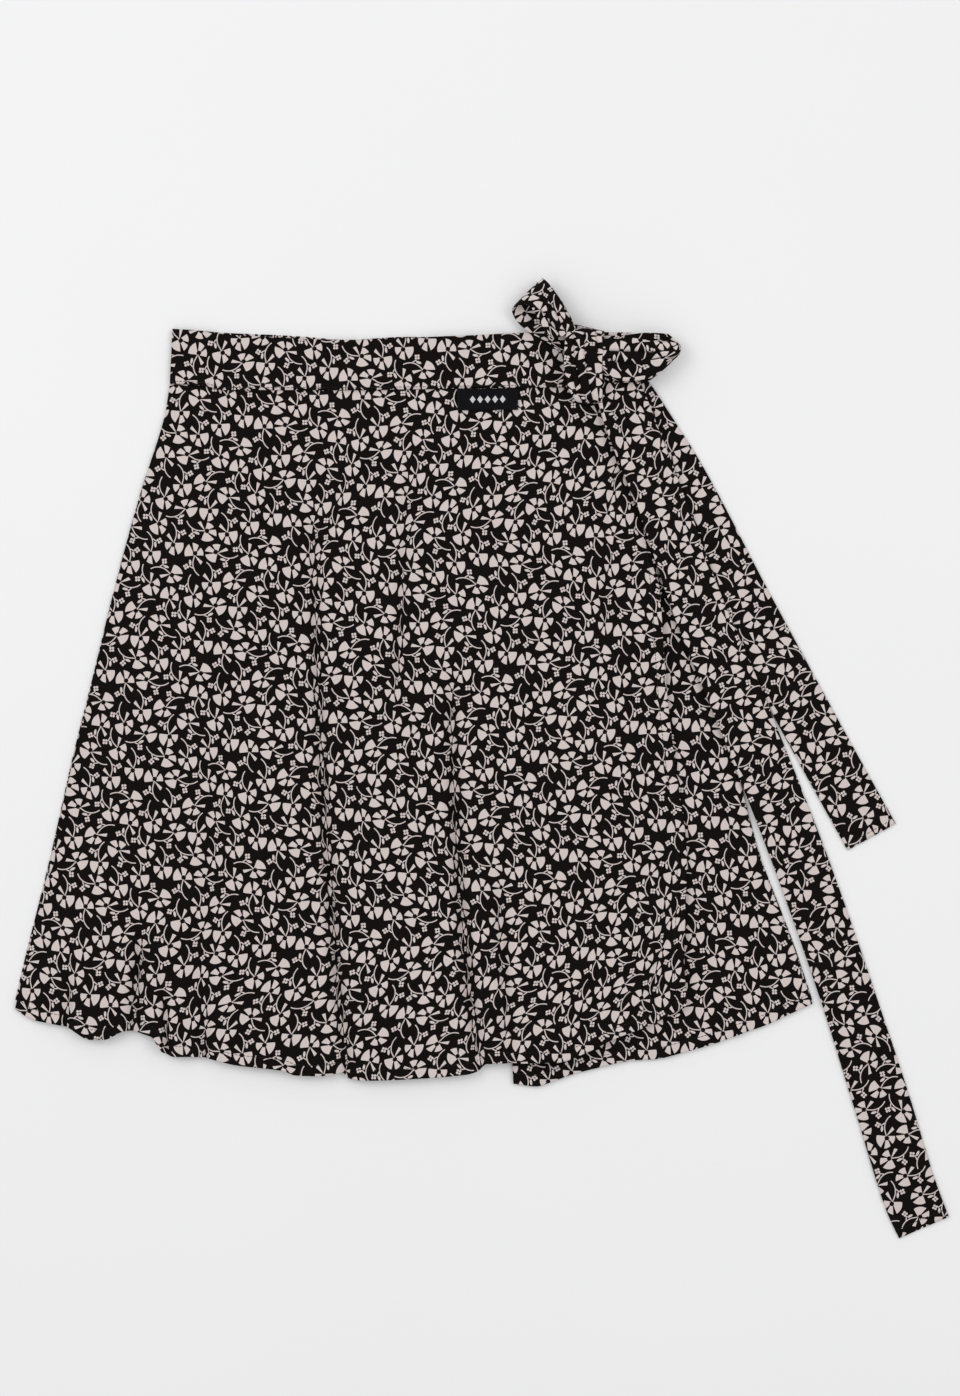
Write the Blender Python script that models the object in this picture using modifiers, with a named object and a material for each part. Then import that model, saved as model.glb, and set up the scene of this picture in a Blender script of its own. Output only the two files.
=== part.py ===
"""Wrap skirt with a tie belt, laid flat on its back and tied in a bow at one side.

The frame has its origin at the bottom centre of everything that lies on the surface: X runs across
the skirt, Y runs up from the hem to the waist, and Z is up off the surface. All sizes are in metres.

Layers, from the surface up: the back panel and back waistband, the under wrap panel with its own
stretch of waistband, the outer wrap panel with the front waistband, the label, the two tie ends,
and on top of them the knot and the two loops of the bow.
"""
import math
from bisect import bisect_right
from collections import namedtuple

import bmesh
import bpy
from mathutils import Vector

# Cloth, and the room that touching pieces leave each other
CLOTH = 0.0012            # one panel, or a waistband that lies under another
FRONT_BAND_CLOTH = 0.0018  # the front waistband, folded double
TIE_CLOTH = 0.0015        # a tie, folded double
LABEL_CLOTH = 0.0006
GAP = 0.0003

# Heights of the undersides, each one layer and one gap above the last
OVER_BACK = CLOTH + GAP
OVER_UNDER_WRAP = 2 * OVER_BACK
OVER_FRONT_BAND = OVER_UNDER_WRAP + FRONT_BAND_CLOTH + GAP
OVER_SHORT_TIE = OVER_FRONT_BAND + TIE_CLOTH + GAP
OVER_LONG_TIE = OVER_SHORT_TIE + TIE_CLOTH + GAP

# Skirt lengths
WAIST_Y = 0.286           # the waist seam at the middle of the front
SIDE_LENGTH = 0.480       # waist seam to hem down a side
STEP_RUN = 0.024          # length over which cloth climbs on to a layer below it
STEP_CLEAR = 0.016        # flat cloth kept in front of that layer's edge
TIE_FALL_START = 0.012    # how far past the skirt's side a tie starts to fall to the surface
TIE_FALL_END = 0.050
ROLL_HEIGHT = 0.008       # how far the soft rolls of the outer panel stand up at the hem
ROLL_EASE = 0.055         # the rolls die out over this distance from each side of the panel

# The long edges, one row for each level down the skirt, as X at a share of the side's length
Level = namedtuple("Level", "down left_side right_side outer_edge under_edge")
LEVELS = [
    Level(0.00, -0.242, 0.115, 0.112, -0.010),
    Level(0.05, -0.246, 0.121, 0.116, -0.008),
    Level(0.08, -0.250, 0.126, 0.120, -0.007),
    Level(0.17, -0.264, 0.137, 0.127, -0.005),
    Level(0.33, -0.285, 0.159, 0.137, 0.001),
    Level(0.48, -0.3025, 0.178, 0.142, 0.006),
    Level(0.61, -0.318, 0.196, 0.149, 0.010),
    Level(0.76, -0.334, 0.2145, 0.158, 0.015),
    Level(0.85, -0.3445, 0.2305, 0.157, 0.018),
    Level(0.92, -0.353, 0.243, 0.156, 0.021),
    Level(1.00, -0.362, 0.2555, 0.158, 0.024),
]

# Hems, as the drop below the waist seam at each place across
Hem = namedtuple("Hem", "across drop")
OUTER_HEM = [
    Hem(-0.362, 0.481), Hem(-0.349, 0.489), Hem(-0.321, 0.495), Hem(-0.303, 0.5045),
    Hem(-0.293, 0.5045), Hem(-0.275, 0.4975), Hem(-0.256, 0.502), Hem(-0.247, 0.5145),
    Hem(-0.238, 0.5175), Hem(-0.219, 0.518), Hem(-0.191, 0.524), Hem(-0.154, 0.5285),
    Hem(-0.144, 0.532), Hem(-0.126, 0.5325), Hem(-0.108, 0.530), Hem(-0.104, 0.5345),
    Hem(-0.089, 0.536), Hem(-0.042, 0.534), Hem(-0.014, 0.5315), Hem(-0.004, 0.529),
    Hem(0.004, 0.523), Hem(0.057, 0.522), Hem(0.083, 0.513), Hem(0.101, 0.504),
    Hem(0.130, 0.493), Hem(0.158, 0.478),
]
UNDER_HEM = [
    Hem(0.024, 0.539), Hem(0.042, 0.541), Hem(0.051, 0.5385), Hem(0.069, 0.532),
    Hem(0.088, 0.527), Hem(0.116, 0.521), Hem(0.134, 0.520), Hem(0.153, 0.5155),
    Hem(0.181, 0.5075), Hem(0.204, 0.499), Hem(0.221, 0.493), Hem(0.238, 0.485),
    Hem(0.2555, 0.477),
]
BACK_HEM_AT_SIDES = 0.474  # the back hem is one arc, just inside the hems that cover it
BACK_HEM_SAG = 0.038

# The waistband, as heights above the waist seam's middle at each place across
Band = namedtuple("Band", "across seam front_top back_top")
BAND = [
    Band(-0.242, 0.003, 0.0455, 0.0450),
    Band(-0.219, 0.002, 0.0440, 0.0440),
    Band(-0.199, -0.002, 0.0410, 0.0425),
    Band(-0.163, -0.002, 0.0390, 0.0410),
    Band(-0.137, -0.002, 0.0375, 0.0395),
    Band(-0.107, -0.002, 0.0370, 0.0372),
    Band(-0.061, -0.0015, 0.0385, 0.0395),
    Band(-0.018, -0.001, 0.0400, 0.0395),
    Band(0.060, 0.000, 0.0430, 0.0420),
    Band(0.115, 0.001, 0.0425, 0.0430),
]
BAND_LEFT_LEAN = 0.002    # how far the band's left end leans in from the seam to the top

# Valleys between the outer panel's rolls: where each starts and ends, as X and a share down
Valley = namedtuple("Valley", "top top_down foot foot_down bend depth width")
VALLEYS = [
    Valley(-0.295, 0.78, -0.287, 0.96, 1.0, 0.40, 0.012),   # faint, near the left side
    Valley(-0.262, 0.84, -0.270, 1.00, 1.0, 0.85, 0.015),   # the left hem's wave
    Valley(-0.200, 0.52, -0.222, 1.00, 1.2, 0.35, 0.020),
    Valley(-0.130, 0.12, -0.104, 1.00, 2.0, 0.95, 0.011),   # the longest
    Valley(-0.083, 0.14, -0.100, 0.66, 0.7, 0.55, 0.011),
    Valley(-0.059, 0.10, -0.066, 0.38, 1.0, 0.50, 0.011),
    Valley(-0.024, 0.36, -0.001, 1.00, 2.2, 0.90, 0.012),
    Valley(0.012, 0.68, 0.021, 1.00, 1.3, 0.60, 0.010),     # over the under wrap's edge
    Valley(0.150, 0.76, 0.128, 1.00, 1.0, 0.60, 0.010),     # beside the free edge
]

# The tie ends, as the middle of the strip and its width from the knot to the end
Strip = namedtuple("Strip", "along x y width")
SHORT_TIE = [
    Strip(0.000, 0.105, 0.289, 0.0400),
    Strip(0.085, 0.123, 0.261, 0.0425),
    Strip(0.220, 0.152, 0.215, 0.0425),
    Strip(0.480, 0.201, 0.122, 0.0425),
    Strip(0.790, 0.260, 0.013, 0.0425),
    Strip(1.000, 0.3015, -0.062, 0.0425),
]
LONG_TIE = [
    Strip(0.000, 0.102, 0.293, 0.034),
    Strip(0.050, 0.1135, 0.260, 0.038),
    Strip(0.160, 0.1415, 0.1875, 0.038),
    Strip(0.265, 0.166, 0.1185, 0.040),
    Strip(0.390, 0.200, 0.0365, 0.042),
    Strip(0.570, 0.246, -0.080, 0.042),
    Strip(0.735, 0.284, -0.1885, 0.042),
    Strip(0.850, 0.309, -0.266, 0.0435),
    Strip(0.965, 0.333, -0.343, 0.0435),
    Strip(1.000, 0.342, -0.3645, 0.042),
]
LONG_TIE_LIFTED = 0.40    # share of the long tie that lies over the short one
LONG_TIE_LANDS = 0.55

# The label, sewn under the waist seam
LABEL_WIDTH = 0.047
LABEL_HEIGHT = 0.0165
LABEL_CENTRE = (0.004, 0.2765)
LABEL_TILT = math.radians(0.6)

# The bow
Loop = namedtuple("Loop", "near_x near_y near_width far_x far_y far_width round_off slant height drop")
UPPER_LOOP = Loop(0.0655, 0.3270, 0.018, 0.0345, 0.3590, 0.034, 0.04, 0.00, 0.015, 0.004)
SIDE_LOOP = Loop(0.1000, 0.3130, 0.026, 0.1530, 0.3095, 0.037, 0.29, 0.11, 0.012, 0.001)
KNOT_CENTRE = (0.080, 0.303)
KNOT_SIZE = (0.036, 0.062, 0.013)

# Grid divisions, across and down
OUTER_GRID = (46, 18)
UNDER_GRID = (14, 10)
BACK_GRID = (22, 10)
BAND_ROWS = 2             # a waistband has the columns of the panel below it, so their seams match
SHORT_TIE_GRID = (4, 18)
LONG_TIE_GRID = (4, 30)
LOOP_GRID = (4, 18)

PRINT_COLOUR = (0.10, 0.09, 0.085)
LABEL_COLOUR = (0.02, 0.02, 0.025)


def ease(share):
    """A smooth step from 0 to 1."""
    share = min(max(share, 0.0), 1.0)
    return share * share * (3.0 - 2.0 * share)


def meet(before, after):
    """The slope at a table's row, level where the table turns, so that no value overshoots."""
    if before * after <= 0.0:
        return 0.0
    return 2.0 * before * after / (before + after)


def read(table, key, column, place):
    """A table column's smooth value at a place along its key column."""
    places = [getattr(row, key) for row in table]
    values = [getattr(row, column) for row in table]
    place = min(max(place, places[0]), places[-1])
    row = min(max(bisect_right(places, place) - 1, 0), len(places) - 2)
    secants = [(values[i + 1] - values[i]) / (places[i + 1] - places[i]) for i in range(len(places) - 1)]
    start = meet(secants[row - 1], secants[row]) if row > 0 else secants[0]
    end = meet(secants[row], secants[row + 1]) if row < len(secants) - 1 else secants[-1]
    run = places[row + 1] - places[row]
    t = (place - places[row]) / run
    return ((2 * t**3 - 3 * t**2 + 1) * values[row] + (t**3 - 2 * t**2 + t) * run * start
            + (3 * t**2 - 2 * t**3) * values[row + 1] + (t**3 - t**2) * run * end)


def edge(column, down):
    """X of one of the skirt's long edges at a share of the way down."""
    return read(LEVELS, "down", column, down)


def seam_y(x):
    """Y of the waist seam."""
    return WAIST_Y + read(BAND, "across", "seam", x)


def back_drop(x):
    """The back hem's drop: one arc between the two sides."""
    middle = (edge("left_side", 1) + edge("right_side", 1)) / 2
    reach = edge("right_side", 1) - middle
    return BACK_HEM_AT_SIDES + BACK_HEM_SAG * (1 - ((x - middle) / reach) ** 2)


def outer_drop(x):
    return read(OUTER_HEM, "across", "drop", x)


def under_drop(x):
    return read(UNDER_HEM, "across", "drop", x)


def panel_place(left, right, drop, across, down):
    """X and Y of a point of a panel that hangs from the waist seam between two long edges."""
    x_left = edge(left, down)
    x_right = edge(right, down)
    x = x_left + (x_right - x_left) * across
    x_top = edge(left, 0) + (edge(right, 0) - edge(left, 0)) * across
    x_hem = edge(left, 1) + (edge(right, 1) - edge(left, 1)) * across
    top = seam_y(x_top) - GAP / 2
    hem = WAIST_Y - drop(x_hem)
    return x, top + (hem - top) * down


def outer_base(x, down):
    """Height of what the outer panel lies on: the back, then up over the under wrap's edge."""
    reach = edge("under_edge", down) - STEP_CLEAR - x
    return OVER_BACK + (OVER_UNDER_WRAP - OVER_BACK) * ease(1 - reach / STEP_RUN)


def valley_x(valley, down):
    """X of a valley's line at a share down the panel."""
    share = (down - valley.top_down) / (valley.foot_down - valley.top_down)
    share = min(max(share, 0.0), 1.0)
    return valley.top + (valley.foot - valley.top) * share**valley.bend


def valley_strength(valley, down):
    """How deep a valley is at a share down: it fades in, and fades out where it ends short."""
    grow = ease((down - valley.top_down) / 0.12)
    if valley.foot_down >= 1.0:
        return valley.depth * grow
    return valley.depth * grow * ease((valley.foot_down - down) / 0.12)


def roll_height(x, down):
    """The outer panel's rolls: they grow towards the hem and sink into each valley."""
    from_left = x - edge("left_side", down)
    from_right = edge("outer_edge", down) - x
    height = ROLL_HEIGHT * down * ease(from_left / ROLL_EASE) * ease(from_right / ROLL_EASE)
    for valley in VALLEYS:
        away = (x - valley_x(valley, down)) / valley.width
        height *= 1 - valley_strength(valley, down) * math.exp(-away * away)
    return height


def outer_point(across, down):
    x, y = panel_place("left_side", "outer_edge", outer_drop, across, down)
    return Vector((x, y, outer_base(x, down) + roll_height(x, down)))


def under_point(across, down):
    x, y = panel_place("under_edge", "right_side", under_drop, across, down)
    return Vector((x, y, OVER_BACK))


def back_point(across, down):
    x, y = panel_place("left_side", "right_side", back_drop, across, down)
    return Vector((x, y, 0.0))


def band_point(left, right, top, height, across, down):
    """A point of a waistband: down runs from its top edge to the waist seam."""
    x = left + (right - left) * across
    y_top = WAIST_Y + read(BAND, "across", top, x)
    y_seam = seam_y(x) + GAP / 2
    lean = BAND_LEFT_LEAN * (1 - across) * (1 - down) if left < edge("under_edge", 0) else 0.0
    return Vector((x + lean, y_top + (y_seam - y_top) * down, height(x)))


def skirt_top(x, y):
    """Height of the surface that a tie lies on: the skirt, then the ground past its side."""
    down = (WAIST_Y - y) / SIDE_LENGTH
    if down > 1.0:
        return 0.0
    past_side = x - edge("right_side", max(down, 0.0))
    return OVER_FRONT_BAND * (1 - ease((past_side - TIE_FALL_START) / (TIE_FALL_END - TIE_FALL_START)))


def strip_point(table, across, along):
    """X and Y of a point of a tie, square to the tie's middle line."""
    step = 0.02
    ahead = min(along + step, 1.0)
    behind = max(along - step, 0.0)
    heading = Vector((
        read(table, "along", "x", ahead) - read(table, "along", "x", behind),
        read(table, "along", "y", ahead) - read(table, "along", "y", behind),
    )).normalized()
    offset = (across - 0.5) * read(table, "along", "width", along)
    x = read(table, "along", "x", along) - heading.y * offset
    y = read(table, "along", "y", along) + heading.x * offset
    return x, y


def short_tie_point(across, along):
    x, y = strip_point(SHORT_TIE, across, along)
    return Vector((x, y, skirt_top(x, y)))


def long_tie_point(across, along):
    """The long tie lies over the short one near the knot, and lands beside it further on."""
    x, y = strip_point(LONG_TIE, across, along)
    lift = 1 - ease((along - LONG_TIE_LIFTED) / (LONG_TIE_LANDS - LONG_TIE_LIFTED))
    clear = OVER_SHORT_TIE - OVER_FRONT_BAND + 2 * GAP
    return Vector((x, y, skirt_top(x, y) + clear * lift))


def loop_point(loop, across, round_loop):
    """A point of a bow loop: out from the knot along the bottom, round the far end and back."""
    near = Vector((loop.near_x, loop.near_y))
    far = Vector((loop.far_x, loop.far_y))
    heading = (far - near).normalized()
    side = Vector((-heading.y, heading.x))
    out = math.sin(math.pi * round_loop)
    off_middle = 2 * across - 1
    length = 1 - loop.round_off * off_middle**2 + loop.slant * off_middle
    width = loop.near_width + (loop.far_width - loop.near_width) * ease(out * 1.8)
    opening = (0.30 + 0.70 * ease(out * 1.6)) * math.sqrt(max(1 - out**4, 0.0))
    above = 1 if round_loop > 0.5 else -1
    middle = OVER_LONG_TIE + 2 * GAP + loop.height / 2 - loop.drop * ease(2 * out - 1)
    flat = near.lerp(far, out * length) + side * width * off_middle / 2
    return Vector((flat.x, flat.y, middle + above * opening * loop.height / 2))


def label_point(across, down):
    offset = Vector(((across - 0.5) * LABEL_WIDTH, (0.5 - down) * LABEL_HEIGHT))
    cos = math.cos(LABEL_TILT)
    sin = math.sin(LABEL_TILT)
    x = LABEL_CENTRE[0] + offset.x * cos - offset.y * sin
    y = LABEL_CENTRE[1] + offset.x * sin + offset.y * cos
    return Vector((x, y, OVER_UNDER_WRAP + CLOTH + GAP))


def material(name, colour, roughness):
    finish = bpy.data.materials.new(name)
    finish.use_nodes = True
    shader = finish.node_tree.nodes["Principled BSDF"]
    shader.inputs["Base Color"].default_value = (*colour, 1.0)
    shader.inputs["Roughness"].default_value = roughness
    shader.inputs["Metallic"].default_value = 0.0
    return finish


def add_object(name, mesh_data, colour, roughness=0.75):
    piece = bpy.data.objects.new(name, mesh_data)
    skirt.objects.link(piece)
    piece.data.materials.append(material(name + "_cloth", colour, roughness))
    piece.data.shade_smooth()
    piece.data.set_sharp_from_angle(angle=math.radians(50))
    return piece


def cloth_sheet(name, grid, place, thickness, colour=PRINT_COLOUR):
    """A wall of cloth: a grid bent over place(across, down), thickened upwards."""
    surface = bmesh.new()
    bmesh.ops.create_grid(surface, x_segments=grid[0], y_segments=grid[1], size=0.5)
    for point in surface.verts:
        point.co = place(point.co.x + 0.5, 0.5 - point.co.y)
    mesh_data = bpy.data.meshes.new(name)
    surface.to_mesh(mesh_data)
    surface.free()
    piece = add_object(name, mesh_data, colour)
    wall = piece.modifiers.new("wall", "SOLIDIFY")
    wall.thickness = thickness
    wall.offset = 1.0
    wall.use_even_offset = True
    return piece


def knot_body(name, centre, size, underside):
    """The knot: a squashed round bundle, flattened where it lies on the ties."""
    bundle = bmesh.new()
    bmesh.ops.create_uvsphere(bundle, u_segments=18, v_segments=10, radius=0.5)
    for point in bundle.verts:
        flat = max(point.co.z, -0.32)
        point.co = Vector((
            centre[0] + point.co.x * size[0],
            centre[1] + point.co.y * size[1],
            underside + (flat + 0.32) * size[2] / 0.82,
        ))
    bmesh.ops.dissolve_degenerate(bundle, dist=1e-6, edges=bundle.edges)
    mesh_data = bpy.data.meshes.new(name)
    bundle.to_mesh(mesh_data)
    bundle.free()
    return add_object(name, mesh_data, PRINT_COLOUR)


def centre_on_origin(pieces):
    """Move every piece so that the origin is at the bottom centre of them all."""
    bpy.context.view_layer.update()
    graph = bpy.context.evaluated_depsgraph_get()
    corners = []
    for piece in pieces:
        shape = piece.evaluated_get(graph).to_mesh()
        corners.extend(point.co.copy() for point in shape.vertices)
    low = Vector([min(corner[axis] for corner in corners) for axis in range(3)])
    high = Vector([max(corner[axis] for corner in corners) for axis in range(3)])
    for piece in pieces:
        piece.location = Vector((-(low.x + high.x) / 2, -(low.y + high.y) / 2, -low.z))


for old in list(bpy.data.objects):
    bpy.data.objects.remove(old, do_unlink=True)
skirt = bpy.data.collections.new("wrap_skirt")
bpy.context.scene.collection.children.link(skirt)

waist_left = edge("left_side", 0)
waist_right = edge("right_side", 0)
under_left = edge("under_edge", 0)

cloth_sheet("back_panel", BACK_GRID, back_point, CLOTH)
cloth_sheet("under_wrap_panel", UNDER_GRID, under_point, CLOTH)
cloth_sheet("outer_wrap_panel", OUTER_GRID, outer_point, CLOTH)
cloth_sheet(
    "waistband_back", (BACK_GRID[0], BAND_ROWS),
    lambda across, down: band_point(waist_left, waist_right, "back_top", lambda x: 0.0, across, down),
    CLOTH)
cloth_sheet(
    "waistband_under", (UNDER_GRID[0], BAND_ROWS),
    lambda across, down: band_point(under_left, waist_right, "back_top", lambda x: OVER_BACK, across, down),
    CLOTH)
cloth_sheet(
    "waistband_front", (OUTER_GRID[0], BAND_ROWS),
    lambda across, down: band_point(
        waist_left, edge("outer_edge", 0), "front_top", lambda x: outer_base(x, 0), across, down),
    FRONT_BAND_CLOTH)
cloth_sheet("label", (2, 1), label_point, LABEL_CLOTH, LABEL_COLOUR)
cloth_sheet("tie_short", SHORT_TIE_GRID, short_tie_point, TIE_CLOTH)
cloth_sheet("tie_long", LONG_TIE_GRID, long_tie_point, TIE_CLOTH)
cloth_sheet(
    "bow_loop_upper", LOOP_GRID,
    lambda across, down: loop_point(UPPER_LOOP, across, down), TIE_CLOTH)
cloth_sheet(
    "bow_loop_side", LOOP_GRID,
    lambda across, down: loop_point(SIDE_LOOP, across, down), TIE_CLOTH)
knot_body("bow_knot", KNOT_CENTRE, KNOT_SIZE, OVER_LONG_TIE + 2 * GAP)

centre_on_origin(list(skirt.objects))
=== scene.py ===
"""Looks for the wrap skirt: printed crepe panels, waistbands, tie ends, bow, label and stitching.

Every piece is a thin shell of cloth laid where its solid lies. Sizes are in metres unless a name ends
in _MM. Places are first worked out from the waist seam's own zero, as in the cutting tables, and
then moved to the frame's origin, which the label's solid gives.
"""
import math
import random
from collections import namedtuple
from functools import partial

import bpy
import numpy as np
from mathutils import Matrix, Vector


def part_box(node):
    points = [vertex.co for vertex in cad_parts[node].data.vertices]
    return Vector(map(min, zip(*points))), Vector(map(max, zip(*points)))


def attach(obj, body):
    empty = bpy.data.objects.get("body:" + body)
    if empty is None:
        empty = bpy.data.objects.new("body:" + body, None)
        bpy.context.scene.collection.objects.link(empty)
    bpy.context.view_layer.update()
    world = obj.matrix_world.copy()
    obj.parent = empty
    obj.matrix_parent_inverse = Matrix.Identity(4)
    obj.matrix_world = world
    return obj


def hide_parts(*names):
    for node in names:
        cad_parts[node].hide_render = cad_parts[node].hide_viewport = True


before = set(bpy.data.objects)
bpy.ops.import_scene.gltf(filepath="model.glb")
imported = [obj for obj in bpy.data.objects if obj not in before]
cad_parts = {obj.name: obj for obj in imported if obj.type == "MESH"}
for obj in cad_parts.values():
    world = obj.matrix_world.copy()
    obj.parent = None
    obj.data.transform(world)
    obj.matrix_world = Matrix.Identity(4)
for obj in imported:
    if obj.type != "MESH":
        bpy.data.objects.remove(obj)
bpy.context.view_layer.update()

MM = 0.001

# ---- Cloth, and the height of each layer's underside ----

PANEL_CLOTH = 0.0008
BAND_CLOTH = 0.0015
TIE_CLOTH = 0.0012
LABEL_CLOTH = 0.0006
OVER_BACK = 0.0015
OVER_UNDER_WRAP = 0.0030
OVER_FRONT_BAND = 0.0051
OVER_SHORT_TIE = 0.0069

# ---- The cut ----

WAIST_Y = 0.286
SIDE_LENGTH = 0.480
SEAM_GAP = 0.0003
STEP_RUN = 0.024          # length over which cloth climbs on to a layer below it
STEP_CLEAR = 0.016        # how far before that layer's edge the climb is over
HEM_TURN = 0.0075         # depth of the turned and stitched hem
HEM_TURN_HEIGHT = 0.0004
HEM_TURN_EASE = 0.0015    # length over which the turned hem's height goes
HEM_DENT = 0.8            # how deep its stitches pull in, as a share of its height
HEM_DENT_WIDTH = 0.0012
HEM_SHARE = 0.03          # share of a panel's length where its mesh is finer, and its steps
HEM_STEPS = 12

# Where the long edges run: X of each at shares of the side's length
Level = namedtuple("Level", "down left_side right_side outer_edge under_edge")
LEVELS = [
    Level(0.00, -0.242, 0.115, 0.112, -0.010),
    Level(0.05, -0.246, 0.121, 0.116, -0.008),
    Level(0.08, -0.250, 0.126, 0.120, -0.007),
    Level(0.17, -0.264, 0.137, 0.127, -0.005),
    Level(0.33, -0.285, 0.159, 0.137, 0.001),
    Level(0.48, -0.3025, 0.178, 0.142, 0.006),
    Level(0.61, -0.318, 0.196, 0.149, 0.010),
    Level(0.76, -0.334, 0.2145, 0.158, 0.015),
    Level(0.85, -0.3445, 0.2305, 0.157, 0.018),
    Level(0.92, -0.353, 0.243, 0.156, 0.021),
    Level(1.00, -0.362, 0.2555, 0.158, 0.024),
]

# How far below the waist the hem hangs at each X
Hem = namedtuple("Hem", "across drop")
OUTER_HEM = [
    Hem(-0.362, 0.481), Hem(-0.349, 0.489), Hem(-0.321, 0.495), Hem(-0.303, 0.5045),
    Hem(-0.293, 0.5045), Hem(-0.275, 0.4975), Hem(-0.256, 0.502), Hem(-0.247, 0.5145),
    Hem(-0.238, 0.5175), Hem(-0.219, 0.518), Hem(-0.191, 0.524), Hem(-0.154, 0.5285),
    Hem(-0.144, 0.532), Hem(-0.126, 0.5325), Hem(-0.108, 0.530), Hem(-0.104, 0.5345),
    Hem(-0.089, 0.536), Hem(-0.042, 0.534), Hem(-0.014, 0.5315), Hem(-0.004, 0.529),
    Hem(0.004, 0.523), Hem(0.057, 0.522), Hem(0.083, 0.513), Hem(0.101, 0.504),
    Hem(0.130, 0.493), Hem(0.158, 0.478),
]
UNDER_HEM = [
    Hem(0.024, 0.539), Hem(0.042, 0.541), Hem(0.051, 0.5385), Hem(0.069, 0.532),
    Hem(0.088, 0.527), Hem(0.116, 0.521), Hem(0.134, 0.520), Hem(0.153, 0.5155),
    Hem(0.181, 0.5075), Hem(0.204, 0.499), Hem(0.221, 0.493), Hem(0.238, 0.485),
    Hem(0.2555, 0.477),
]
BACK_HEM_AT_SIDES = 0.474
BACK_HEM_SAG = 0.038

Band = namedtuple("Band", "across seam front_top back_top")
BAND = [
    Band(-0.242, 0.003, 0.0455, 0.0450),
    Band(-0.219, 0.002, 0.0440, 0.0440),
    Band(-0.199, -0.002, 0.0410, 0.0425),
    Band(-0.163, -0.002, 0.0390, 0.0410),
    Band(-0.137, -0.002, 0.0375, 0.0395),
    Band(-0.107, -0.002, 0.0370, 0.0372),
    Band(-0.061, -0.0015, 0.0385, 0.0395),
    Band(-0.018, -0.001, 0.0400, 0.0395),
    Band(0.060, 0.000, 0.0430, 0.0420),
    Band(0.115, 0.001, 0.0425, 0.0430),
]
BAND_LEFT_LEAN = 0.002

# ---- The outer panel's rolls and its free edge; places down a panel are shares of its length ----

ROLL_HEIGHT = 0.009       # how far the rolls stand up at the hem
ROLL_EASE = 0.055         # distance from the panel's long edges over which they rise
HEM_SETTLES = 0.42        # share of their height that the weight of the hem presses out
HEM_SETTLES_FROM = 0.85
EDGE_LIFT = 0.0042        # how far the free edge stands off the under wrap below the tie
EDGE_LIFT_WIDTH = 0.016
EDGE_LIFT_FROM = 0.28
EDGE_LIFT_RUN = 0.08
EDGE_WAVE = 0.35          # share of the lift that comes and goes along the edge
EDGE_WAVE_CREST = 0.42
EDGE_WAVE_LENGTH = 0.53

# ---- Folds: a line down a panel, how deep it sinks, and the cloth that is tucked into it ----

FOLD_FADE = 0.12          # share of a panel's length over which a fold starts or ends
WIDE_TROUGH = 0.3         # a fold's section, in shares of its depth and width
SHARP_TROUGH = 0.7
SHARP_TROUGH_WIDTH = 0.36
RIDGE = 0.3
RIDGE_FROM_MIDDLE = 0.9
RIDGE_WIDTH = 0.45
TUCK_WIDTH = 0.45         # how fast the tucked cloth is used up across it

Fold = namedtuple("Fold", "top top_down foot foot_down bend depth width tucked", defaults=(0.0,))
OUTER_FOLDS = [
    Fold(-0.295, 0.78, -0.287, 0.96, 1.0, 0.40, 0.012, 0.002),
    Fold(-0.316, 0.86, -0.322, 1.00, 1.0, 0.95, 0.008, 0.004),
    Fold(-0.262, 0.80, -0.270, 1.00, 1.0, 1.00, 0.011, 0.008),    # the left hem's wave
    Fold(-0.248, 0.87, -0.243, 1.00, 1.0, 1.00, 0.007, 0.005),
    Fold(-0.216, 0.86, -0.214, 1.00, 1.0, 0.80, 0.008, 0.005),
    Fold(-0.200, 0.45, -0.222, 1.00, 1.2, 0.35, 0.020, 0.003),
    Fold(-0.130, 0.12, -0.104, 1.00, 2.0, 0.95, 0.011, 0.009),    # the longest
    Fold(-0.092, 0.03, -0.128, 0.30, 0.9, 0.50, 0.010, 0.003),    # runs into it from above
    Fold(-0.052, 0.04, -0.067, 0.50, 0.7, 0.75, 0.010, 0.005),
    Fold(-0.088, 0.48, -0.098, 0.74, 1.0, 0.30, 0.014, 0.002),
    Fold(-0.024, 0.36, -0.001, 1.00, 2.2, 0.95, 0.011, 0.008),
    Fold(0.012, 0.68, 0.021, 1.00, 1.3, 0.60, 0.010, 0.004),      # over the under wrap's edge
    Fold(0.108, 0.02, 0.092, 0.46, 0.8, 0.70, 0.011, 0.004),      # hangs from the knot
    Fold(0.060, 0.10, 0.010, 0.34, 1.0, 0.25, 0.014, 0.001),      # a faint pull towards the knot
    Fold(0.150, 0.76, 0.128, 1.00, 1.0, 0.60, 0.009, 0.004),      # beside the free edge
]
UNDER_FOLDS = [
    Fold(0.186, 0.86, 0.184, 0.99, 1.0, 0.9, 0.0045),
    Fold(0.198, 0.88, 0.198, 1.00, 1.0, 0.7, 0.0040),
    Fold(0.209, 0.85, 0.213, 0.98, 1.0, 0.8, 0.0050),
    Fold(0.100, 0.92, 0.102, 1.00, 1.0, 0.6, 0.0070),
]
UNDER_ROLL_HEIGHT = 0.0016
UNDER_ROLL_EASE = 0.03

Wave = namedtuple("Wave", "size across along start")
RIPPLES = [     # the cloth's slow waves, in radians a metre
    Wave(1.0, 61, 9, 0.7), Wave(0.7, 37, -23, 2.1), Wave(0.5, 113, 31, 4.0), Wave(0.4, 17, 71, 1.3),
]
OUTER_RIPPLE = 0.0010
UNDER_RIPPLE = 0.0004
BAND_RIPPLE = 0.0008
TIE_RIPPLE = 0.0007
TIE_RIPPLE_FINENESS = 1.7
LABEL_RIPPLE = 0.0005
LABEL_RIPPLE_FINENESS = 4

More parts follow.
